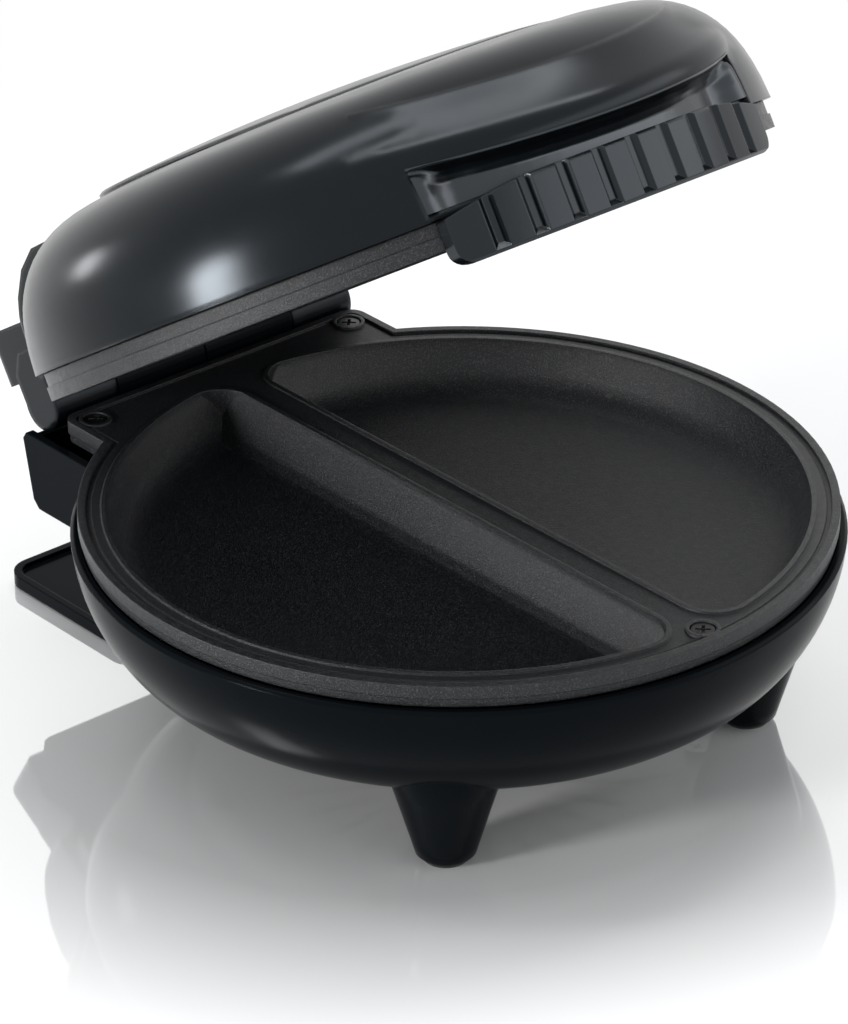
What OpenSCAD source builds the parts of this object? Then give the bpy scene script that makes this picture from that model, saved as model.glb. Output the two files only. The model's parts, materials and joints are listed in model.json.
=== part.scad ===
// Electric omelette maker: a round base and a hinged lid, each with a twin-well cooking plate.
// Millimetres. +Z is up, the front is -Y, and the lid is drawn closed and then turned open.

/* [Cooking plates] */
// outer radius of both cooking plates
plate_r = 107; // [100:0.5:114]
// width of the rim between a plate's edge and its wells
well_edge = 8; // [7.5:0.25:12]
// width of the strip that divides the two wells
divider_w = 11; // [9:0.5:15]
// radius of the wells' corners, seen from above
well_corner_r = 10; // [7:0.5:14]
// depth of the lower wells
lower_depth = 15; // [11:0.5:16]
// depth of the upper wells
upper_depth = 12; // [8:0.5:14]
// wall thickness of the cast plates
plate_wall = 3; // [2.4:0.1:3.5]
// thickness of the plates' rim
flange_t = 2.7; // [2.2:0.1:3.2]
// height of the lower plate's skirt
lower_skirt = 6.6; // [6.2:0.1:8]
// height of the upper plate's skirt
upper_skirt = 7.8; // [7:0.1:9]
// half width of the corner tabs at the hinge
tab_half = 55; // [52:0.5:58]
// how far the tabs reach behind the round edge
tab_reach = 4.8; // [4:0.2:7]
// gap between the closed plates
plate_gap = 0.3; // [0.2:0.05:0.8]

/* [Base] */
// height of the base's lip above the table
lip_z = 60.9; // [58:0.5:66]
// height of the underside above the table
under_z = 24; // [21:0.5:26]
// how far the lip stands out past the plates
lip_over = 2.2; // [1.6:0.1:3.5]
// radius of the flat underside
under_r = 84; // [82:0.5:87]
// wall thickness of the base housing
base_wall = 2.6; // [2.2:0.1:3]
// distance of a front foot from the middle, across
foot_x = 56.5; // [52:0.5:60]
// distance of a front foot from the middle, forwards
foot_y = 59.5; // [56:0.5:62]
// radius of a foot at its bottom
foot_r = 8.6; // [8:0.2:9.2]
// height of the hinge box's underside
box_z = 38.4; // [37:0.5:41]
// half width of the hinge box
box_half = 61; // [59.5:0.25:63]
// how far the rear foot reaches behind the hinge axis
tail_reach = 23.9; // [20:0.5:28]
// half width of the rear foot
tail_half = 54.5; // [50:0.5:58]
// height of the rear foot's rim
tail_rim_z = 4.6; // [4:0.2:7]
// half width of the post that the cord is wound round
post_half = 24; // [22:0.5:30]

/* [Lid] */
// how far the lid stands open, in degrees
lid_open = 32.5; // [0:0.5:90]
// height of the crown above the closed plates
lid_h = 53; // [50:0.5:58]
// how far the lid's lower edge stands out past the plates
lid_over = 1.8; // [1.4:0.1:2.4]
// wall thickness of the lid housing
lid_wall = 2.6; // [2.2:0.1:3]
// radius of the raised panel on the crown
panel_r = 68; // [60:1:74]
// distance of the panel's middle behind the plates' middle
panel_y = 12; // [8:1:16]
// half the angle that the grip spans
grip_half = 29.6; // [28:0.2:31]
// number of grooves across the grip
groove_n = 9; // [7:2:11]
// angle from one groove to the next
groove_pitch = 5.85; // [4:0.05:6]
// how far the grip reaches below the closed plates
grip_drop = 5.6; // [4:0.2:6]
// thickness of the grip's band
grip_t = 3.8; // [3.2:0.1:4.5]
// how far the brow over the grip stands out past the plates
brow_over = 5; // [4:0.25:6]
// height of the brow's nose above the closed plates
brow_h = 19.4; // [19:0.1:21]
// how far the brow leans, in degrees: it rises towards its ends
brow_lean = 11.2; // [9:0.2:12]

/* [Hinge] */
// radius of the hinge barrel
hinge_r = 7.6; // [7.2:0.1:8.2]
// half length of the hinge barrel
hinge_half = 55.2; // [53:0.2:56]
// distance of the knuckle seams from the middle
seam_x = 32.9; // [30:0.25:36]
// radius of the hinge pins
pin_r = 2.5; // [2:0.1:3]
// running clearance of the hinge pins
pin_fit = 0.05; // [0.03:0.01:0.08]

/* [Hidden] */

$fn = 96;
eps = 0.01;
gloss_black = [0.02, 0.02, 0.022];
dark_grey = [0.13, 0.13, 0.135];
plate_grey = [0.17, 0.17, 0.175];
steel = [0.62, 0.62, 0.63];
zinc = [0.75, 0.75, 0.76];
pad_black = [0.05, 0.05, 0.05];

// plates
well_r = plate_r - well_edge;
tab_y = plate_r + tab_reach;
tab_corner = 5;
rim_t = 2.6;
step_h = 4;
step_in = 0.6;
groove_out = 2.4;
groove_in = 3.8;
groove_d = 1;
land_drop = 0.6;
well_lip = 1.4;
screw_head_r = 3.3;
screw_head_h = 2;
screw_r = 1.5;
screw_fit = 0.05;
head_room = 0.4;
boss_down = 6;
plate_boss_r = 4.6;
front_screw_y = -(plate_r - 6.8);
rear_screw = [tab_half - 7.4, tab_y - 6.8];
plate_screws = [[0, front_screw_y], rear_screw, [-rear_screw.x, rear_screw.y]];

// heights
lower_top = lip_z + 0.4 + lower_skirt;
lid_z = lower_top + plate_gap;
lower_floor = lower_top - lower_depth - plate_wall;
upper_floor = lid_z + upper_depth + plate_wall;

// base
lip_r = plate_r + lip_over;
bowl_h = lip_z - under_z;
bowl_n = 1.75;
ledge_z = under_z + 4;
cover_r = 78;
cover_in_r = 62;
cover_t = 1.6;
cover_screw_r = 70;
cover_screw_a = [30, 150, 210, 330];
boss_r = 3.3;
pad_h = 2;
pad_out = 0.8;
pad_r = foot_r - 2.2;
box_wall = 2.6;
shield_z = 40;
shield_t = 0.8;
shield_r = plate_r - 15;
shield_post_r = 74;
shield_post_a = [20, 160, 200, 340];

// hinge
hinge_y = tab_y + 1.2 + hinge_r;
hinge_z = lid_z;
seam_gap = 0.25;
pin_in = seam_x - 18;
pin_out = hinge_half - 2.2;
box_rear_top = hinge_z - hinge_r - 1.4;
box_lean = 3.9;
tail_y = hinge_y + tail_reach;
tail_front = 84;
tail_floor = pad_out + 2.4;
post_y0 = 88;
post_y1 = hinge_y - 6.6;
post_wall = 2.5;
post_boss = [14, post_y1 - 8.5];
post_screw_z = 28;
gland_z = 22;
gland_r = 5;
block_y = 70;

// lid
lid_r = plate_r + lid_over;
skirt_h = 8;
side_n = 2.6;
side_r = 70;
side_h = lid_h - skirt_h - 5.5;
draft = 0.06;
crown_h = lid_h - 2.2;
crown_fall = 4.4;
ext_half = tab_half + 1.6;
rear_over = 6.4;
grip_top = 11.3;
grip_fall = 4.1;
grip_in = plate_r + 0.7;
grip_r = grip_in + grip_t;
grip_back = plate_r - 1.85;
grip_x = grip_r * sin(grip_half);
grip_flat = 0.5 * grip_x;
grip_corner = 4.5;
scoop_x = grip_x + 1.5;
scoop_wall = 2;
wells_r = plate_r - 7.8;
shelf_top = skirt_h + 2;
brow_c = 0.238 * plate_r;
brow_half = 51;
brow_r = plate_r + brow_over - brow_c;
lug_x = 34;
lug_w = 16;
lug_top = 25;
lid_shield_h = upper_depth + plate_wall + 9;
heater_r = 3.2;
heater_ring = 66;
heater_sink = 1.3;
lens_x = 9;
lens_y = 40;
lens_r = 4;
lens_top = panel_top(norm([lens_x, lens_y - panel_y])) + 0.2;

// The object's box is centred on the origin: the lip is its front and a lug its rear.
lug_reach = hinge_y + tail_reach * cos(lid_open) + (lug_top - 2) * sin(lid_open);
rear_reach = max(lug_reach, tail_y);
mid_y = (rear_reach - lip_r) / 2;

// a square with round corners, between two opposite corner points
module soft_square(low, high, r) {
  size = high - low;
  translate([low.x + r, low.y])
    square([size.x - 2 * r, size.y]);
  translate([low.x, low.y + r])
    square([size.x, size.y - 2 * r]);
  for (x = [low.x + r, high.x - r], y = [low.y + r, high.y - r])
    translate([x, y])
      circle(r);
}

// extrudes a side view, drawn as [y, z], across X from x0 to x1
module across(x0, x1)
  translate([x0, 0, 0])
    rotate([90, 0, 90])
      linear_extrude(x1 - x0)
        children();

module both_sides() {
  children();
  mirror([1, 0, 0])
    children();
}

// a ring sector about Z that is centred on the front, for a profile drawn as [r, z]
module front_sector(half)
  rotate([0, 0, -90 - half])
    rotate_extrude(angle = 2 * half)
      children();

module placed()
  translate([0, -mid_y, 0])
    children();

// turns what is drawn closed to the lid's open place
module on_lid()
  placed()
    translate([0, hinge_y, hinge_z])
      rotate([-lid_open, 0, 0])
        translate([0, -hinge_y, -hinge_z])
          children();

// cooking plate, drawn with its face up at z = 0

module plate_plan(inset) {
  circle(plate_r - inset);
  soft_square([-tab_half + inset, 0], [tab_half - inset, tab_y - inset], tab_corner - inset);
}

// one D-shaped well seen from above, larger by grow all round
module well_plan(grow = 0) {
  x0 = divider_w / 2 - grow;
  r1 = well_r + grow;
  r2 = well_corner_r + grow;
  cx = x0 + r2;
  cy = sqrt((r1 - r2) * (r1 - r2) - cx * cx);
  far = 1.4;
  intersection() {
    circle(r1);
    polygon([[x0, -cy], [x0, cy], [cx, cy], far * [cx, cy], [2 * r1, far * cy],
      [2 * r1, -far * cy], far * [cx, -cy], [cx, -cy]]);
  }
  for (y = [-cy, cy])
    translate([cx, y])
      circle(r2);
}

// the foot of a well's wall: inset from the edge and height over the floor
function well_foot(depth) = [[0, depth + 2], [0.2, depth - 1], [3.4, 6.4], [5.4, 3.4], [8.6, 1], [12.6, 0]];

module well(depth, grow) {
  foot = well_foot(depth);
  down = -depth - grow;
  x0 = divider_w / 2 - grow;
  r1 = well_r + grow;
  intersection() {
    translate([0, 0, down])
      linear_extrude(depth + grow + (grow > 0 ? -1 : 2))
        well_plan(grow);
    rotate_extrude()
      polygon(concat([for (p = foot) [r1 - p.x, down + p.y]], [[0, down], [0, 2]]));
    rotate([90, 0, 0])
      linear_extrude(2 * r1, center = true)
        polygon(concat([for (p = foot) [x0 + p.x, down + p.y]], [[2 * r1, down], [2 * r1, 2]]));
  }
}

module heater_shape(z, r) {
  gap = 18;
  rotate([0, 0, 90 + gap])
    rotate_extrude(angle = 360 - 2 * gap)
      translate([heater_ring, z])
        circle(r, $fn = 32);
}

module plate(depth, skirt) {
  difference() {
    union() {
      translate([0, 0, -step_h])
        linear_extrude(step_h)
          plate_plan(0);
      translate([0, 0, -skirt])
        linear_extrude(skirt - step_h + eps)
          plate_plan(step_in);
    }
    translate([0, 0, -skirt - 1])
      linear_extrude(skirt + 1 - flange_t)
        difference() {
          plate_plan(rim_t);
          for (s = plate_screws)
            translate(s)
              circle(plate_boss_r);
        }
    translate([0, 0, -skirt - 1])
      linear_extrude(skirt + 1 - boss_down)
        for (s = plate_screws)
          translate(s)
            circle(plate_boss_r + eps);
    translate([0, 0, -groove_d])
      linear_extrude(groove_d + 1)
        difference() {
          plate_plan(groove_out);
          plate_plan(groove_in);
          screw_rings();
        }
    translate([0, 0, -land_drop])
      linear_extrude(land_drop + 1)
        difference() {
          plate_plan((groove_out + groove_in) / 2);
          screw_rings();
          both_sides()
            well_plan(well_lip);
        }
    both_sides()
      well(depth, 0);
    for (s = plate_screws)
      translate(s) {
        translate([0, 0, -boss_down - 1])
          cylinder(r = screw_r + 0.25, h = boss_down + 2);
        translate([0, 0, -head_room - screw_head_h])
          cylinder(r = screw_head_r + 0.4, h = 4);
      }
  }
  difference() {
    both_sides()
      well(depth, plate_wall);
    both_sides()
      well(depth, 0);
    heater_shape(-depth - plate_wall - heater_r + heater_sink, heater_r);
  }
}

module screw_rings()
  for (s = plate_screws)
    translate(s)
      circle(screw_head_r + 1.5);

module cross_screw(length) {
  slot = 0.9;
  difference() {
    union() {
      cylinder(r = screw_head_r, h = screw_head_h);
      translate([0, 0, -length])
        cylinder(r = screw_r, h = length + eps);
    }
    for (a = [45, 135])
      rotate([0, 0, a])
        translate([-screw_head_r * 0.65, -slot / 2, screw_head_h - 1.1])
          cube([screw_head_r * 1.3, slot, 2]);
  }
}

module plate_screw_set()
  for (s = plate_screws)
    translate([s.x, s.y, -head_room - screw_head_h])
      cross_screw(12);

module heater(z) {
  gap = 18;
  heater_shape(z, heater_r);
  for (a = [90 - gap, 90 + gap])
    rotate([0, 0, a])
      translate([heater_ring, 0, z]) {
        translate([0, 0, -6])
          cylinder(r = heater_r, h = 6, $fn = 32);
        translate([0, 0, -11])
          cylinder(r = 1.4, h = 6, $fn = 24);
      }
}

// heat shield: a shallow sheet pan with its rim up at +Z, drawn with its underside at z = 0
module heat_shield() {
  rim_h = 5;
  difference() {
    cylinder(r = shield_r, h = rim_h);
    translate([0, 0, shield_t])
      cylinder(r = shield_r - shield_t, h = rim_h);
    for (a = [72, 108])
      rotate([0, 0, a])
        translate([heater_ring, 0, -1])
          cylinder(r = 5, h = 4);
    for (x = [-34, 34])
      translate([x, 0, -1])
        cylinder(r = 5, h = 4);
  }
}

module thermostat() {
  cylinder(r = 8.5, h = 1.2);
  translate([0, 0, -4])
    cylinder(r = 7, h = 4 + eps);
  for (x = [-4, 4])
    translate([x - 0.4, -2, -8])
      cube([0.8, 4, 4 + eps]);
}

// base

// outline of the bowl as [r, z], from the flat underside up to the lip, smaller by inset
function bowl_side(inset) = [for (i = [0:16])
  let (a = i * 90 / 16, k = 2 / bowl_n)
    [under_r + (lip_r - inset - under_r) * pow(sin(a), k), lip_z - (bowl_h - inset) * pow(cos(a), k)]];

module bowl_outside() {
  side = bowl_side(0);
  rotate_extrude()
    polygon(concat([[0, under_z]], [for (i = [0:15]) side[i]],
      [[lip_r, lip_z - 0.9], [lip_r - 0.9, lip_z], [0, lip_z]]));
}

module bowl_inside() {
  side = [for (p = bowl_side(base_wall)) if (p.y > ledge_z + 0.1) p];
  rotate_extrude()
    polygon(concat([[0, ledge_z], [side[0].x - 1, ledge_z]], side,
      [[lip_r - base_wall, lip_z + 1], [0, lip_z + 1]]));
}

module front_foot() {
  top = under_z + 14;
  rotate_extrude()
    polygon([[0, pad_out], [foot_r - 1.5, pad_out], [foot_r, pad_out + 1.6], [foot_r + 2.8, 12],
      [foot_r + 5, 19.5], [foot_r + 6.8, under_z + 1.5], [foot_r + 8, under_z + 7],
      [foot_r + 8.4, top], [0, top]]);
}

module hinge_box() {
  top = lip_z + 0.6;
  foot = hinge_y - 2.2;
  rear = foot + box_lean;
  difference() {
    across(-box_half, box_half)
      polygon([[85, box_z], [foot - 2.4, box_z], [foot, box_z + 2.4], [rear, top - 2.2],
        [rear - 1.4, top], [85, top]]);
    across(-box_half + box_wall, box_half - box_wall)
      polygon([[80, box_z + box_wall], [foot - 2.8, box_z + box_wall], [rear - box_wall, top - 3],
        [rear - box_wall, top + 5], [80, top + 5]]);
    across(-box_half + box_wall, box_half - box_wall)
      translate([90, box_rear_top])
        square([50, 20]);
  }
}

module base_knuckles()
  for (x0 = [-seam_x + seam_gap, seam_gap])
    difference() {
      union() {
        translate([x0, hinge_y, hinge_z])
          rotate([0, 90, 0])
            cylinder(r = hinge_r, h = seam_x - 2 * seam_gap);
        across(x0, x0 + seam_x - 2 * seam_gap)
          polygon([[hinge_y - 7, box_z + 1], [hinge_y - 4, box_z + 1], [hinge_y + 0.2, box_rear_top],
            [hinge_y + 3, hinge_z - 3], [hinge_y, hinge_z], [hinge_y - 7, hinge_z - 2]]);
      }
      side = x0 < 0 ? -1 : 1;
      translate([side * (pin_in - 0.5), hinge_y, hinge_z])
        rotate([0, side * 90, 0])
          cylinder(r = pin_r + pin_fit, h = 40);
    }

module base_housing()
  color(gloss_black)
    placed()
      difference() {
        union() {
          difference() {
            union() {
              bowl_outside();
              both_sides()
                translate([foot_x, -foot_y, 0])
                  front_foot();
              difference() {
                hinge_box();
                translate([0, 0, -1])
                  cylinder(r = under_r, h = 100);
              }
            }
            bowl_inside();
            translate([0, 0, under_z - 1])
              cylinder(r = cover_in_r, h = 20);
            translate([0, 0, under_z - 1])
              cylinder(r = cover_r, h = 1 + cover_t);
            both_sides()
              translate([foot_x, -foot_y, 0])
                cylinder(r = pad_r + 0.1, h = pad_h);
            wire_way();
          }
          base_knuckles();
          base_bosses();
        }
        for (s = plate_screws)
          translate([s.x, s.y, lower_top - 16])
            cylinder(r = screw_r + screw_fit, h = 20);
        for (a = cover_screw_a)
          rotate([0, 0, a])
            translate([cover_screw_r, 0, under_z - 1])
              cylinder(r = screw_r + screw_fit, h = 9);
        both_sides()
          translate([post_boss.x, post_boss.y, box_z - 1])
            cylinder(r = screw_r + screw_fit, h = 10.5);
      }

// the wires' way from the post up into the hinge box and on into the bowl
module wire_way() {
  translate([-8, post_y0 + 10, box_z - 1])
    cube([16, 10, 6]);
  translate([-6, under_r - 12, box_z + base_wall + 1])
    cube([12, post_y0 - under_r + 24, 5]);
}

module base_bosses() {
  boss_top = lower_top - boss_down;
  translate([0, front_screw_y, lip_z - 18])
    cylinder(r = boss_r, h = boss_top - lip_z + 18);
  translate([-1.2, -lip_r + 2.2, lip_z - 10])
    cube([2.4, 6, 8]);
  both_sides()
    translate([rear_screw.x, rear_screw.y, box_z + 1])
      cylinder(r = boss_r, h = boss_top - box_z - 1);
  for (a = shield_post_a)
    rotate([0, 0, a])
      translate([shield_post_r, 0, ledge_z - 0.5])
        cylinder(r = 3, h = shield_z - ledge_z + 0.5);
  for (a = cover_screw_a)
    rotate([0, 0, a])
      translate([cover_screw_r, 0, ledge_z - 0.5])
        cylinder(r = boss_r, h = 6);
  both_sides()
    translate([post_boss.x, post_boss.y, box_z + 1])
      cylinder(r = boss_r, h = 10);
}

module base_cover()
  color(dark_grey)
    placed()
      difference() {
        translate([0, 0, under_z])
          cylinder(r = cover_r - 0.2, h = cover_t);
        for (a = [0:15:345])
          rotate([0, 0, a])
            translate([24, -1.4, under_z - 1])
              cube([26, 2.8, cover_t + 2]);
        for (a = cover_screw_a)
          rotate([0, 0, a])
            translate([cover_screw_r, 0, under_z - 1])
              cylinder(r = screw_r + 0.25, h = cover_t + 2);
      }

module cover_screws()
  color(zinc)
    placed()
      for (a = cover_screw_a)
        rotate([0, 0, a])
          translate([cover_screw_r, 0, under_z])
            mirror([0, 0, 1])
              cross_screw(7);

// the rear foot, one piece with the hollow post that the cord is wound round
// room for the bowl's rounded underside, which the foot's post reaches up beside
module bowl_room() {
  side = bowl_side(-0.35);
  rotate_extrude()
    polygon(concat([[0, under_z - 0.35]], [for (i = [0:15]) side[i]], [[0, side[15].y]]));
}

module rear_foot()
  color(gloss_black)
    placed()
      difference() {
        union() {
          difference() {
            translate([0, 0, pad_out])
              linear_extrude(tail_rim_z - pad_out)
                soft_square([-tail_half, tail_front], [tail_half, tail_y], 8);
            translate([0, 0, tail_floor])
              linear_extrude(10)
                soft_square([-tail_half + 2.4, tail_front + 2.4], [tail_half - 2.4, tail_y - 2.4], 5.6);
          }
          difference() {
            translate([0, 0, pad_out + 1])
              linear_extrude(box_z - pad_out - 1)
                soft_square([-post_half, post_y0], [post_half, post_y1], 5);
            translate([0, 0, tail_floor])
              linear_extrude(box_z)
                soft_square([-post_half + post_wall, post_y0 + post_wall],
                  [post_half - post_wall, post_y1 - post_wall], 2.5);
          }
          both_sides()
            translate([post_boss.x, post_boss.y, pad_out + 1])
              cylinder(r = screw_head_r + 2.2, h = box_z - pad_out - 1);
        }
        both_sides() {
          translate([post_boss.x, post_boss.y, 0]) {
            cylinder(r = screw_r + 0.25, h = box_z + 1);
            cylinder(r = screw_head_r + 0.4, h = post_screw_z);
          }
          translate([tail_half - 12, tail_y - 12, 0])
            cylinder(r = pad_r + 0.1, h = pad_h);
        }
        translate([0, post_y1 + 1, gland_z])
          rotate([90, 0, 0])
            cylinder(r = gland_r + 0.1, h = post_wall + 2);
        bowl_room();
      }

module rear_foot_screws()
  color(zinc)
    placed()
      both_sides()
        translate([post_boss.x, post_boss.y, post_screw_z])
          mirror([0, 0, 1])
            cross_screw(18);

module foot_pads()
  color(pad_black)
    placed()
      both_sides()
        for (p = [[foot_x, -foot_y], [tail_half - 12, tail_y - 12]])
          translate(p)
            cylinder(r = pad_r, h = pad_h);

module lower_plate()
  color(plate_grey)
    placed()
      translate([0, 0, lower_top])
        plate(lower_depth, lower_skirt);

module lower_plate_screws()
  color(steel)
    placed()
      translate([0, 0, lower_top])
        plate_screw_set();

module lower_heater()
  color(steel)
    placed()
      translate([0, 0, lower_top])
        heater(-lower_depth - plate_wall - heater_r + heater_sink);

module lower_heat_shield()
  color(zinc)
    placed()
      translate([0, 0, shield_z])
        heat_shield();

module lower_thermostat()
  color(steel)
    placed()
      translate([34, 0, lower_floor - 1.2])
        thermostat();

module thermal_fuse()
  color(zinc)
    placed()
      translate([-34, 0, lower_floor]) {
        translate([-1.5, -5, -2.6])
          cube([3, 10, 2.6]);
        translate([0, 9, -2.2])
          rotate([90, 0, 0])
            cylinder(r = 1.9, h = 18, $fn = 32);
      }

module terminal_block()
  color([0.85, 0.84, 0.8])
    placed()
      difference() {
        translate([-15, block_y - 5, ledge_z])
          cube([30, 10, 9]);
        for (x = [-10, 0, 10])
          translate([x, block_y, ledge_z + 3])
            cylinder(r = 2.2, h = 10, $fn = 32);
      }

module cord_gland()
  color(pad_black)
    placed()
      translate([0, post_y1, gland_z])
        rotate([-90, 0, 0])
          difference() {
            union() {
              translate([0, 0, -post_wall - 2])
                cylinder(r = gland_r, h = post_wall + 4);
              cylinder(r = gland_r + 2, h = 2);
              translate([0, 0, -post_wall - 2])
                cylinder(r = gland_r + 1.2, h = 2);
            }
            translate([0, 0, -20])
              cylinder(r = 3.2, h = 40);
          }

module hinge_pins()
  color(steel)
    placed()
      both_sides()
        translate([pin_in, hinge_y, hinge_z])
          rotate([0, 90, 0])
            cylinder(r = pin_r, h = pin_out - pin_in);

// lid, drawn closed with z = 0 at the upper plate's face

// outline of the lid's side as [r, h], from its lower edge up to the shoulder
function lid_side(inset) = [for (i = [0:14])
  let (a = i * 78 / 14, k = 2 / side_n, h = (side_h - inset) * pow(sin(a), k))
    [side_r + (lid_r - inset - side_r) * pow(cos(a), k) - draft * h, skirt_h + h]];

function crown(r, inset) = crown_h - inset - crown_fall * pow(r / 88, 2.2);

module lid_round(inset, low) {
  side = [for (p = lid_side(inset)) if (p.y < crown(p.x, inset)) p];
  rim = side[len(side) - 1].x;
  rotate_extrude()
    polygon(concat([[0, low], [side[0].x, low]], side,
      [for (i = [9:-1:0]) [rim * i / 10, crown(rim * i / 10, inset)]]));
}

function panel_top(r) = lid_h - 3.5 * pow(r / panel_r, 2);

// the raised panel on the crown
module lid_panel()
  translate([0, panel_y, 0])
    rotate_extrude()
      polygon(concat([[0, crown_h - 6], [panel_r, crown_h - 6]],
        [[panel_r, lid_h - 4.2], [panel_r - 1, lid_h - 3.5]],
        [for (i = [9:-1:0]) [panel_r * i / 10, panel_top(panel_r * i / 10)]]));

// the lid's square rear end over the hinge
module lid_rear(inset, low) {
  y = tab_y + rear_over - inset;
  intersection() {
    across(-ext_half + inset, ext_half - inset)
      polygon([[50, low], [y, low], [y - 1.6, skirt_h + 8], [y - 4.6, skirt_h + 16],
        [y - 9, skirt_h + 23.5 - inset], [y - 16, skirt_h + 30.5 - inset],
        [y - 25, skirt_h + 35 - inset], [50, skirt_h + 36.5 - inset]]);
    translate([0, 0, low - 1])
      linear_extrude(80)
        soft_square([-ext_half + inset, 0], [ext_half - inset, y + 0.2], 7);
  }
}

module lid_lug() {
  reach = hinge_y + tail_reach;
  intersection() {
    across(lug_x, lug_x + lug_w)
      soft_square([tab_y - 4, skirt_h + 0.4], [reach, lug_top], 3);
    linear_extrude(60)
      soft_square([lug_x, 60], [lug_x + lug_w, reach], 5);
  }
}

module lid_arm() {
  x0 = seam_x + seam_gap;
  translate([x0, hinge_y, 0])
    rotate([0, 90, 0])
      cylinder(r = hinge_r, h = hinge_half - x0);
  across(x0, hinge_half)
    polygon([[hinge_y - hinge_r + 0.3, 0], [hinge_y - hinge_r + 0.3, skirt_h + 0.3], [tab_y - 2, skirt_h + 0.3],
      [tab_y - 2, skirt_h + 9], [hinge_y + 2, skirt_h + 9], [hinge_y + hinge_r - 0.3, skirt_h + 3],
      [hinge_y + hinge_r - 0.3, 0]]);
}

// leans what is drawn about the brow's axis, with the middle of its nose kept in place
module brow_place()
  translate([0, -brow_c - brow_r, brow_h])
    rotate([brow_lean, 0, 0])
      translate([0, brow_r, -brow_h])
        children();

// the brow, still solid, as [r, h] about its own axis
module brow() {
  r = brow_r;
  h = brow_h;
  brow_place()
    front_sector(brow_half)
      polygon([[r - 17, h - 2], [r, h - 2], [r, h + 0.4], [r - 0.4, h + 2.2], [r - 1.6, h + 4.4],
        [r - 3.4, h + 5.8], [r - 7, h + 8.6], [r - 14, h + 15], [r - 17, h + 14]]);
}

// the finger scoop under the brow, larger by grow all round
module scoop(grow) {
  r = brow_r - grow;
  h = brow_h + grow;
  wide = scoop_x + grow;
  intersection() {
    brow_place()
      front_sector(brow_half - 0.7)
        polygon([[r - 2, h - 26], [r - 6, h - 7], [r - 5.4, h - 4.9], [r - 4.4, h - 3.1],
          [r - 2.6, h - 1.9], [r - 0.6, h - 1.2], [r + 0.6, h - 0.2], [r + 24, h - 0.2], [r + 24, h - 26]]);
    translate([-wide, -1.5 * plate_r, 0])
      cube([2 * wide, 1.5 * plate_r, 60]);
  }
}

// floor of the scoop, which the grip hangs on
module scoop_shelf()
  intersection() {
    translate([-scoop_x - 1, -plate_r - 3, skirt_h + 0.2])
      cube([2 * scoop_x + 2, plate_r, shelf_top - skirt_h - 0.2]);
    difference() {
      cylinder(r = plate_r + 0.4, h = 40);
      translate([0, 0, -1])
        cylinder(r = wells_r, h = 50);
    }
  }

module lid_bosses() {
  for (s = plate_screws)
    translate([s.x, s.y, boss_down])
      cylinder(r = boss_r, h = 21);
  for (a = [45:90:315])
    rotate([0, 0, a])
      translate([shield_post_r - 14, 0, lid_shield_h + shield_t])
        cylinder(r = 3, h = crown_h - 3 - lid_shield_h - shield_t);
}

module lid_housing()
  color(gloss_black)
    on_lid()
      translate([0, 0, lid_z])
        difference() {
          union() {
            difference() {
              union() {
                lid_round(0, skirt_h);
                lid_panel();
                lid_rear(0, skirt_h);
                brow();
              }
              difference() {
                union() {
                  lid_round(lid_wall, skirt_h - 1);
                  lid_rear(lid_wall, skirt_h - 1);
                }
                difference() {
                  scoop(scoop_wall);
                  translate([0, 0, skirt_h - 2])
                    cylinder(r = wells_r, h = 4.3);
                }
              }
              scoop(0);
            }
            scoop_shelf();
            both_sides() {
              lid_lug();
              lid_arm();
            }
            lid_bosses();
          }
          for (s = plate_screws)
            translate([s.x, s.y, 0])
              cylinder(r = screw_r + screw_fit, h = 16);
          both_sides() {
            translate([seam_x - 1, hinge_y, 0])
              rotate([0, 90, 0])
                cylinder(r = pin_r + pin_fit, h = pin_out - seam_x + 1.4);
            translate([lens_x, lens_y, lid_shield_h])
              cylinder(r = lens_r + 0.1, h = 60);
          }
        }

// the grip seen from the front as [x, h], whose top edge falls towards both ends
function grip_edge(x) = grip_top + 0.3
  - grip_fall * pow(max(0, x - grip_flat) / (grip_x - grip_flat), 1.5);

module grip_front() {
  half = concat(
    [for (a = [0:15:90]) [grip_x - grip_corner * (1 - sin(a)), -grip_drop + grip_corner * (1 - cos(a))]],
    [for (i = [0:7]) let (x = grip_x - i * (grip_x - grip_flat) / 7) [x, grip_edge(x)]]);
  polygon(concat(half, [for (i = [len(half) - 1:-1:0]) [-half[i].x, half[i].y]]));
}

// one groove of the grip, drawn about the grip's axis and facing +X
module groove()
  intersection() {
    translate([grip_r, 0, -20])
      linear_extrude(60)
        polygon([[0.5, -2.6], [-1.7, -0.9], [-1.7, 0.9], [0.5, 2.6]]);
    translate([grip_r, 10, 0])
      rotate([90, 0, 0])
        linear_extrude(20)
          polygon([[-3, 30], [-3, -grip_drop + 4], [-1.7, -grip_drop + 2.6], [0.6, -grip_drop + 0.2], [0.6, 30]]);
  }

module lid_grip()
  color(gloss_black)
    on_lid()
      translate([0, 0, lid_z])
        difference() {
          intersection() {
            front_sector(grip_half + 4)
              polygon([[grip_in, -grip_drop + 0.6], [grip_in + 0.6, -grip_drop - 0.1], [grip_r - 1, -grip_drop - 0.1],
                [grip_r, -grip_drop + 0.9], [grip_r, grip_top - 0.8], [grip_r - 0.8, grip_top],
                [grip_back, grip_top], [grip_back, shelf_top], [grip_in, shelf_top]]);
            rotate([90, 0, 0])
              linear_extrude(plate_r + 20)
                grip_front();
          }
          for (i = [0:groove_n - 1])
            rotate([0, 0, -90 + (i - (groove_n - 1) / 2) * groove_pitch])
              groove();
        }

module upper_plate()
  color(plate_grey)
    on_lid()
      translate([0, 0, lid_z])
        mirror([0, 0, 1])
          plate(upper_depth, upper_skirt);

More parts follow.
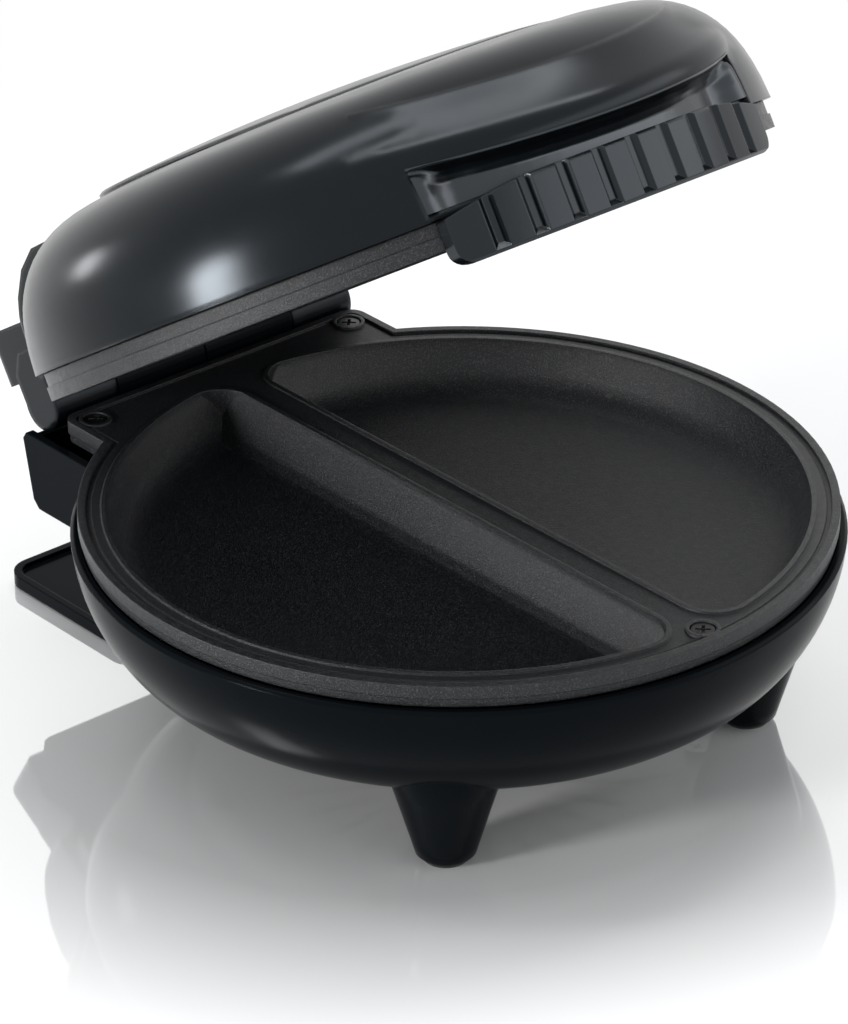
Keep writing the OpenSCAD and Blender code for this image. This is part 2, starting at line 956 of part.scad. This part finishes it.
module upper_plate_screws()
  color(steel)
    on_lid()
      translate([0, 0, lid_z])
        mirror([0, 0, 1])
          plate_screw_set();

module upper_heater()
  color(steel)
    on_lid()
      translate([0, 0, lid_z])
        mirror([0, 0, 1])
          heater(-upper_depth - plate_wall - heater_r + heater_sink);

module upper_heat_shield()
  color(zinc)
    on_lid()
      translate([0, 0, lid_z + lid_shield_h + shield_t])
        mirror([0, 0, 1])
          heat_shield();

module upper_thermostat()
  color(steel)
    on_lid()
      translate([34, 0, upper_floor + 1.2])
        mirror([0, 0, 1])
          thermostat();

module lamp_lenses()
  color([0.75, 0.08, 0.05])
    on_lid()
      both_sides()
        translate([lens_x, lens_y, lid_z])
          difference() {
            translate([0, 0, lens_top - 6])
              cylinder(r = lens_r, h = 6);
            translate([0, 0, lens_top - 7])
              cylinder(r = lens_r - 1, h = 5.5);
          }

module indicator_lamps()
  color([0.9, 0.75, 0.6])
    on_lid()
      both_sides()
        translate([lens_x, lens_y, lid_z + lens_top - 11])
          cylinder(r = lens_r - 1.1, h = 9.4);

base_housing();
base_cover();
cover_screws();
rear_foot();
rear_foot_screws();
foot_pads();
lower_plate();
lower_plate_screws();
lower_heater();
lower_heat_shield();
lower_thermostat();
thermal_fuse();
terminal_block();
cord_gland();
hinge_pins();
lid_housing();
lid_grip();
upper_plate();
upper_plate_screws();
upper_heater();
upper_heat_shield();
upper_thermostat();
lamp_lenses();
indicator_lamps();
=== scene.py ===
"""Studio scene of the electric omelette maker: black moulded housings and dark coated cooking plates."""

import json
import math

import bpy
from mathutils import Matrix, Vector
from mathutils.bvhtree import BVHTree


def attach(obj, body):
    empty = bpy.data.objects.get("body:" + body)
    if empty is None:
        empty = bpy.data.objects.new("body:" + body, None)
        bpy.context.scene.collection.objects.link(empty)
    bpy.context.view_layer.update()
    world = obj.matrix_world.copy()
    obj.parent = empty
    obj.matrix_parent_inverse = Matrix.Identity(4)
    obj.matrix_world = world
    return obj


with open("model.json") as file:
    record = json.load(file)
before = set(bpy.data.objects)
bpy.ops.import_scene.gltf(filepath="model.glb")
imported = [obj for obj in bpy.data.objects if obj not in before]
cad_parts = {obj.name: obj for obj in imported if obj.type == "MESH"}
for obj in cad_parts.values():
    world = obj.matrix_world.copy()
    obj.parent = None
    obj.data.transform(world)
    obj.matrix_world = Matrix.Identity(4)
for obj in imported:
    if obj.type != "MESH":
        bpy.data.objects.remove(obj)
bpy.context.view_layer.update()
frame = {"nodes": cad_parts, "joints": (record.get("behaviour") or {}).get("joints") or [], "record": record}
nodes = frame["nodes"]


# Materials

BLUISH = (0.84, 0.92, 1.0, 1.0)  # the black plastic's reflections, as the photograph's greys are
HAZE = 0.05  # how much the plastic's roughness varies


class Shader:
    """A node material with one Principled shader and a few helpers to wire textures into it."""

    def __init__(self, name, color, roughness, metallic=0.0):
        self.material = bpy.data.materials.new(name)
        self.material.use_nodes = True
        self.tree = self.material.node_tree
        self.tree.nodes.clear()
        self.output = self.tree.nodes.new("ShaderNodeOutputMaterial")
        self.shader = self.tree.nodes.new("ShaderNodeBsdfPrincipled")
        self.link(self.shader.outputs["BSDF"], self.output.inputs["Surface"])
        self.set("Base Color", (*color, 1.0))
        self.set("Roughness", roughness)
        self.set("Metallic", metallic)
        self.place = self.tree.nodes.new("ShaderNodeTexCoord").outputs["Object"]

    def set(self, socket, value):
        self.shader.inputs[socket].default_value = value

    def link(self, a, b):
        self.tree.links.new(a, b)

    def noise(self, scale, detail=2.0, roughness=0.5):
        node = self.tree.nodes.new("ShaderNodeTexNoise")
        node.inputs["Scale"].default_value = scale
        node.inputs["Detail"].default_value = detail
        node.inputs["Roughness"].default_value = roughness
        self.link(self.place, node.inputs["Vector"])
        return node.outputs["Fac"]

    def spread(self, value, low, high, start=0.3, end=0.7):
        """value, as it goes from start to end, mapped from low to high."""
        node = self.tree.nodes.new("ShaderNodeMapRange")
        node.inputs["From Min"].default_value = start
        node.inputs["From Max"].default_value = end
        node.inputs["To Min"].default_value = low
        node.inputs["To Max"].default_value = high
        self.link(value, node.inputs["Value"])
        return node.outputs["Result"]

    def color(self, value, dark, light):
        """Colour from dark, where value is 0, to light, where it is 1."""
        node = self.tree.nodes.new("ShaderNodeMix")
        node.data_type = "RGBA"
        node.inputs["A"].default_value = (*dark, 1.0)
        node.inputs["B"].default_value = (*light, 1.0)
        self.link(value, node.inputs["Factor"])
        self.link(node.outputs["Result"], self.shader.inputs["Base Color"])

    def rough(self, value, low, high):
        """Roughness from low to high along value."""
        self.link(self.spread(value, low, high), self.shader.inputs["Roughness"])

    def surface(self, value, height, strength, edge=0.0004):
        """Fine relief from value, on edges that look rounded with the radius edge."""
        rounded = self.tree.nodes.new("ShaderNodeBevel")
        rounded.samples = 6
        rounded.inputs["Radius"].default_value = edge
        node = self.tree.nodes.new("ShaderNodeBump")
        node.inputs["Distance"].default_value = height
        node.inputs["Strength"].default_value = strength
        self.link(value, node.inputs["Height"])
        self.link(rounded.outputs["Normal"], node.inputs["Normal"])
        self.link(node.outputs["Normal"], self.shader.inputs["Normal"])


def gloss_plastic(name, edge, specular, polish=0.17):
    """Black plastic with faint handling haze: a small polish is smooth, and edge is its edges' radius."""
    m = Shader(name, color=(0.002, 0.003, 0.004), roughness=0.2)
    m.color(m.noise(scale=35, detail=3), dark=(0.0015, 0.0025, 0.0035), light=(0.0028, 0.0038, 0.0048))
    m.rough(m.noise(scale=60, detail=4), low=polish, high=polish + HAZE)
    m.surface(m.noise(scale=180), height=0.00002, strength=0.1, edge=edge)
    m.set("Specular IOR Level", specular)
    m.set("Specular Tint", BLUISH)
    return m.material


def matte_plastic():
    """Dull black plastic of the base's bottom cover."""
    m = Shader("cover_black", color=(0.03, 0.03, 0.031), roughness=0.5)
    m.color(m.noise(scale=90, detail=3), dark=(0.024, 0.024, 0.025), light=(0.036, 0.036, 0.037))
    m.rough(m.noise(scale=200, detail=3), low=0.42, high=0.58)
    m.surface(m.noise(scale=900), height=0.00004, strength=0.4)
    return m.material


def plate_coating():
    """Non-stick coating over cast metal: dark grey with a fine sparkling grain."""
    m = Shader("plate_coating", color=(0.012, 0.013, 0.015), roughness=0.36)
    grain = m.noise(scale=2200, detail=3, roughness=0.7)
    sparkle = m.spread(grain, 0.0, 1.0, start=0.5, end=0.72)
    m.color(sparkle, dark=(0.007, 0.0078, 0.009), light=(0.06, 0.063, 0.068))
    m.rough(m.noise(scale=400, detail=3), low=0.3, high=0.42)
    m.surface(grain, height=0.0002, strength=0.9, edge=0.0006)
    m.set("Specular IOR Level", 0.35)
    return m.material


def metal(name, dark, light, smoothest, roughest):
    """Bare metal with cloudy stains between the colours dark and light."""
    m = Shader(name, color=light, roughness=roughest, metallic=1.0)
    m.color(m.noise(scale=120, detail=4), dark, light)
    m.rough(m.noise(scale=300, detail=3), low=smoothest, high=roughest)
    m.surface(m.noise(scale=1500), height=0.00002, strength=0.3, edge=0.0002)
    return m.material


def soft_rubber():
    """Dull rubber of the pads under the feet."""
    m = Shader("pad_rubber", color=(0.02, 0.02, 0.02), roughness=0.75)
    m.color(m.noise(scale=150, detail=3), dark=(0.016, 0.016, 0.016), light=(0.028, 0.028, 0.028))
    m.rough(m.noise(scale=250), low=0.65, high=0.85)
    m.surface(m.noise(scale=1200), height=0.00005, strength=0.5)
    return m.material


def glazed_ceramic():
    """Off-white ceramic of the terminal block."""
    m = Shader("block_ceramic", color=(0.75, 0.73, 0.68), roughness=0.3)
    m.color(m.noise(scale=80, detail=3), dark=(0.68, 0.66, 0.61), light=(0.78, 0.77, 0.72))
    m.rough(m.noise(scale=120), low=0.22, high=0.38)
    return m.material


def lens_plastic():
    """Red plastic of the indicator lamps' lenses."""
    m = Shader("lens_red", color=(0.3, 0.01, 0.008), roughness=0.15)
    m.color(m.noise(scale=300), dark=(0.22, 0.008, 0.006), light=(0.36, 0.014, 0.010))
    m.rough(m.noise(scale=200), low=0.10, high=0.18)
    return m.material


def lamp_glass():
    """Clear glass of the small lamps under the lenses."""
    m = Shader("lamp_glass", color=(0.9, 0.85, 0.8), roughness=0.05)
    m.color(m.noise(scale=100), dark=(0.86, 0.80, 0.74), light=(0.95, 0.90, 0.86))
    m.set("Transmission Weight", 0.9)
    return m.material


# One finish for each material slot of the record.
FINISHES = {
    "gloss_black": gloss_plastic("gloss_black", edge=0.0007, specular=0.035),
    "cover_black": matte_plastic(),
    "plate_coating": plate_coating(),
    "screw_steel": metal("screw_steel", (0.05, 0.05, 0.052), (0.12, 0.12, 0.125), 0.25, 0.4),
    "bright_steel": metal("bright_steel", (0.42, 0.42, 0.43), (0.58, 0.58, 0.59), 0.25, 0.4),
    "shield_sheet": metal("shield_sheet", (0.52, 0.53, 0.54), (0.7, 0.7, 0.71), 0.3, 0.45),
    "heater_sheath": metal("heater_sheath", (0.25, 0.21, 0.18), (0.42, 0.4, 0.38), 0.35, 0.5),
    "pad_rubber": soft_rubber(),
    "block_ceramic": glazed_ceramic(),
    "lens_red": lens_plastic(),
    "lamp_glass": lamp_glass(),
}


# Smooth shading of the CAD's pieces

JOIN_WITHIN = 0.00003
SHARP_FROM = 28  # degrees between two faces whose edge stays sharp


def smoothing():
    """A modifier's tree that joins the faces' shared points and shades smoothly across flat edges."""
    tree = bpy.data.node_groups.new("smoothing", "GeometryNodeTree")
    for in_out in ("INPUT", "OUTPUT"):
        tree.interface.new_socket("Geometry", in_out=in_out, socket_type="NodeSocketGeometry")
    start = tree.nodes.new("NodeGroupInput")
    end = tree.nodes.new("NodeGroupOutput")
    join = tree.nodes.new("GeometryNodeMergeByDistance")
    join.inputs["Distance"].default_value = JOIN_WITHIN
    angle = tree.nodes.new("GeometryNodeInputMeshEdgeAngle")
    steep = tree.nodes.new("FunctionNodeCompare")
    steep.operation = "GREATER_THAN"
    steep.inputs["B"].default_value = math.radians(SHARP_FROM)
    normals = tree.nodes.new("GeometryNodeSetMeshNormal")
    normals.mode = "SHARPNESS"
    normals.inputs["Remove Custom"].default_value = True
    normals.inputs["Face Sharpness"].default_value = False
    tree.links.new(start.outputs["Geometry"], join.inputs["Geometry"])
    tree.links.new(join.outputs["Geometry"], normals.inputs["Mesh"])
    tree.links.new(angle.outputs["Unsigned Angle"], steep.inputs["A"])
    tree.links.new(steep.outputs["Result"], normals.inputs["Edge Sharpness"])
    tree.links.new(normals.outputs["Mesh"], end.inputs["Geometry"])
    return tree


SMOOTHING = smoothing()

# The lid and its grip are shinier than the base, and the lid's edges are rounder.
SPECIAL = {
    "lid_housing": gloss_plastic("gloss_black_lid", edge=0.0022, specular=0.22, polish=0.2),
    "lid_grip": gloss_plastic("gloss_black_grip", edge=0.0005, specular=0.4, polish=0.14),
}

for part in frame["record"]["subparts"]:
    piece = nodes[part["node"]]
    piece.data.materials.clear()
    piece.data.materials.append(SPECIAL.get(part["node"], FINISHES[part["material_slot"]]))
    piece.modifiers.new("smoothing", "NODES").node_group = SMOOTHING


# Lining of the finger scoop, which rounds the scoop's ends out into the dome

HINGE = frame["joints"][0]
HINGE_BACK = 0.1206  # from the plates' centre back to the hinge
IN_FRONT = -0.14  # a place in front of the whole lid, from which its surface is read
NOSE_Y = -0.1122  # the brow's lower edge in the middle, in the closed lid's frame
NOSE_H = 0.0192
NOSE_LEAN = math.tan(math.radians(11.2))
NOSE_STEPS = 4  # rounds of reading the surface and correcting the nose's height
SCOOP_FLOOR = 0.0102
SCOOP_END = 0.0571
SCOOP_TURN = 0.044  # where the lining starts to leave the scoop's rear wall
FLUSH_BEFORE_END = 0.0008  # the lining reaches the dome this far before the scoop's end
LINING_GAP = 0.00015
TUCK = 12  # power with which the lining's top tucks in under the brow
LINING_COLUMNS = 128
LINING_ROWS = 24


def from_lid(x, y, h):
    """A point of the closed lid, from the middle of the plates' meeting faces, as it stands in the scene."""
    turn = Matrix.Rotation(math.radians(HINGE["range_deg"][0]), 3, "X")
    return Vector(HINGE["pos_m"]) + turn @ Vector((x, y - HINGE_BACK, h))


def front_reader(piece):
    """A function that gives the y of the piece's front surface at x and h, in the closed lid's frame."""
    corners = [v.co for v in piece.data.vertices]
    faces = [p.vertices for p in piece.data.polygons]
    tree = BVHTree.FromPolygons(corners, faces)

    def front(x, h):
        start = from_lid(x, IN_FRONT, h)
        way = from_lid(x, 0, h) - start
        distance = tree.ray_cast(start, way.normalized())[3]
        return IN_FRONT + distance

    return front


def ease(t):
    """0 to 1 with a slow start and a slow end."""
    t = min(max(t, 0), 1)
    return t * t * (3 - 2 * t)


def nose_height(front, x):
    """Height of the brow's lower edge at x, which rises with the surface it lies on."""
    y = NOSE_Y
    for _ in range(NOSE_STEPS):
        height = NOSE_H + (y - NOSE_Y) * NOSE_LEAN
        y = front(x, height)
    return height


def lining_point(front, x, v):
    """A point of the lining at x and the share v of its height, from the scoop's floor to the brow."""
    top = nose_height(front, x)
    h = SCOOP_FLOOR + (top - SCOOP_FLOOR) * v
    dome = math.hypot(SCOOP_END, front(SCOOP_END, h))
    outer = -math.sqrt(dome * dome - x * x)
    wall = front(x, h) - LINING_GAP
    turn = ease((abs(x) - SCOOP_TURN) / (SCOOP_END - FLUSH_BEFORE_END - SCOOP_TURN))
    return from_lid(x, wall + (outer - wall) * turn * (1 - v ** TUCK), h)


def grid_faces(columns, rows):
    """Four-sided faces over points that are listed column by column."""
    faces = []
    for i in range(columns):
        for j in range(rows):
            a = i * (rows + 1) + j
            b = a + rows + 1
            faces.append((a, b, b + 1, a + 1))
    return faces


def scoop_lining():
    front = front_reader(nodes["lid_housing"])
    points = []
    for i in range(LINING_COLUMNS + 1):
        x = SCOOP_END * (2 * i / LINING_COLUMNS - 1)
        for j in range(LINING_ROWS + 1):
            points.append(lining_point(front, x, j / LINING_ROWS))
    faces = grid_faces(LINING_COLUMNS, LINING_ROWS)
    mesh = bpy.data.meshes.new("scoop_lining")
    mesh.from_pydata(points, [], faces)
    mesh.polygons.foreach_set("use_smooth", [True] * len(faces))
    mesh.materials.append(gloss_plastic("gloss_black_lining", edge=0.0003, specular=0.7, polish=0.22))
    lining = bpy.data.objects.new("scoop_lining", mesh)
    bpy.context.scene.collection.objects.link(lining)
    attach(lining, "lid")


scoop_lining()


# Camera, floor and light

CAMERA_SPOT = Vector((-0.9041, -1.0696, 0.8072))
CAMERA_AZIMUTH = -40.39
CAMERA_DIP = 28.28
CAMERA_ROLL = math.radians(-0.43)
CAMERA_LENS = 196.6
LIGHT_TARGET = Vector((0, 0, 0.12))
FLOOR_HALF = 6.0
MIRROR = 0.5  # the table's share of mirror reflection
MIRROR_FULL = 0.12  # radii round the object where the mirror starts to fade and where it ends
MIRROR_END = 0.20
SHADOW_END = 0.22  # radii from which the table turns into plain white
WHITE_FROM = 0.45
WHITE = (1, 1, 1, 1)
FILL = 0.56
FILL_COLOR = (0.95, 0.98, 1.0, 1)


def way_from(azimuth, height):
    """Direction from the object to a place at an azimuth and a height angle, in degrees."""
    a, e = math.radians(azimuth), math.radians(height)
    return Vector((math.sin(a) * math.cos(e), -math.cos(a) * math.cos(e), math.sin(e)))


def make_camera():
    data = bpy.data.cameras.new("camera")
    data.sensor_width = 36
    data.lens = CAMERA_LENS
    data.clip_start = 0.05
    data.clip_end = 50
    camera = bpy.data.objects.new("camera", data)
    bpy.context.scene.collection.objects.link(camera)
    back = way_from(CAMERA_AZIMUTH, CAMERA_DIP)
    right = Vector((0, 0, 1)).cross(back).normalized()
    up = back.cross(right)
    turned = right * math.cos(CAMERA_ROLL) + up * math.sin(CAMERA_ROLL)
    up = back.cross(turned)
    basis = Matrix((turned, up, back)).transposed().to_4x4()
    camera.matrix_world = Matrix.Translation(CAMERA_SPOT) @ basis
    bpy.context.scene.camera = camera


def soft_box(name, shape, azimuth, height, distance, width, length, power):
    """A soft lamp that faces the object from an azimuth and a height angle, in degrees."""
    data = bpy.data.lights.new(name, "AREA")
    data.shape = shape
    data.size = width
    data.size_y = length
    data.energy = power
    light = bpy.data.objects.new(name, data)
    bpy.context.scene.collection.objects.link(light)
    way = way_from(azimuth, height)
    light.location = way * distance + LIGHT_TARGET
    light.rotation_euler = way.to_track_quat("Z", "Y").to_euler()


def seen_rays(tree):
    """A socket that is 1 for rays of the eye and of clear reflections and glass, and 0 for stray light."""
    path = tree.nodes.new("ShaderNodeLightPath")
    seen = path.outputs["Is Camera Ray"]
    for kind in ("Is Glossy Ray", "Is Transmission Ray"):
        either = tree.nodes.new("ShaderNodeMath")
        either.operation = "MAXIMUM"
        tree.links.new(seen, either.inputs[0])
        tree.links.new(path.outputs[kind], either.inputs[1])
        seen = either.outputs["Value"]
    return seen


def blend(tree, share, first, second):
    """The shader first, with the share of second mixed in."""
    node = tree.nodes.new("ShaderNodeMixShader")
    tree.links.new(share, node.inputs["Fac"])
    tree.links.new(first, node.inputs[1])
    tree.links.new(second, node.inputs[2])
    return node.outputs["Shader"]


def table_top():
    """White that mirrors the object round its feet, turns matt further out and then plain white."""
    m = Shader("table_top", color=(0.95, 0.95, 0.95), roughness=0.8)
    m.color(m.noise(scale=3), dark=(0.94, 0.94, 0.94), light=(0.96, 0.96, 0.96))
    m.set("Specular IOR Level", 0.0)
    gloss = m.tree.nodes.new("ShaderNodeBsdfGlossy")
    gloss.inputs["Color"].default_value = WHITE
    gloss.inputs["Roughness"].default_value = 0.03
    white = m.tree.nodes.new("ShaderNodeEmission")
    white.inputs["Strength"].default_value = 1.0
    length = m.tree.nodes.new("ShaderNodeVectorMath")
    length.operation = "LENGTH"
    m.link(m.place, length.inputs[0])
    radius = length.outputs["Value"]
    mirror = m.spread(radius, MIRROR, 0.0, start=MIRROR_FULL, end=MIRROR_END)
    near = blend(m.tree, mirror, m.shader.outputs["BSDF"], gloss.outputs["BSDF"])
    fade = m.tree.nodes.new("ShaderNodeMath")
    fade.operation = "MULTIPLY"
    m.link(seen_rays(m.tree), fade.inputs[0])
    m.link(m.spread(radius, 0.0, 1.0, start=SHADOW_END, end=WHITE_FROM), fade.inputs[1])
    whole = blend(m.tree, fade.outputs["Value"], near, white.outputs["Emission"])
    m.link(whole, m.output.inputs["Surface"])
    return m.material


def make_floor():
    size = FLOOR_HALF
    corners = [(-size, -size, 0), (size, -size, 0), (size, size, 0), (-size, size, 0)]
    mesh = bpy.data.meshes.new("floor")
    mesh.from_pydata(corners, [], [(0, 1, 2, 3)])
    mesh.materials.append(table_top())
    floor = bpy.data.objects.new("floor", mesh)
    bpy.context.scene.collection.objects.link(floor)


def make_world():
    """White to the eye and in reflections, and a plain fill light on matt surfaces."""
    world = bpy.data.worlds.new("world")
    bpy.context.scene.world = world
    world.use_nodes = True
    tree = world.node_tree
    tree.nodes.clear()
    shaders = []
    for color, strength in ((FILL_COLOR, FILL), (WHITE, 1.0)):
        background = tree.nodes.new("ShaderNodeBackground")
        background.inputs["Color"].default_value = color
        background.inputs["Strength"].default_value = strength
        shaders.append(background.outputs["Background"])
    out = tree.nodes.new("ShaderNodeOutputWorld")
    tree.links.new(blend(tree, seen_rays(tree), *shaders), out.inputs["Surface"])


make_camera()
make_floor()
make_world()
soft_box("left_light", "ELLIPSE", azimuth=-98, height=10, distance=1.5, width=0.28, length=0.4, power=19)
soft_box("back_left_light", "ELLIPSE", azimuth=-156, height=1, distance=1.6, width=0.3, length=0.3, power=2.9)
soft_box("top_light", "RECTANGLE", azimuth=163, height=73, distance=2.0, width=2.4, length=0.35, power=20)
soft_box("right_light", "RECTANGLE", azimuth=38, height=28, distance=2.0, width=3.4, length=0.8, power=15)
bpy.context.scene.view_settings.view_transform = "Standard"
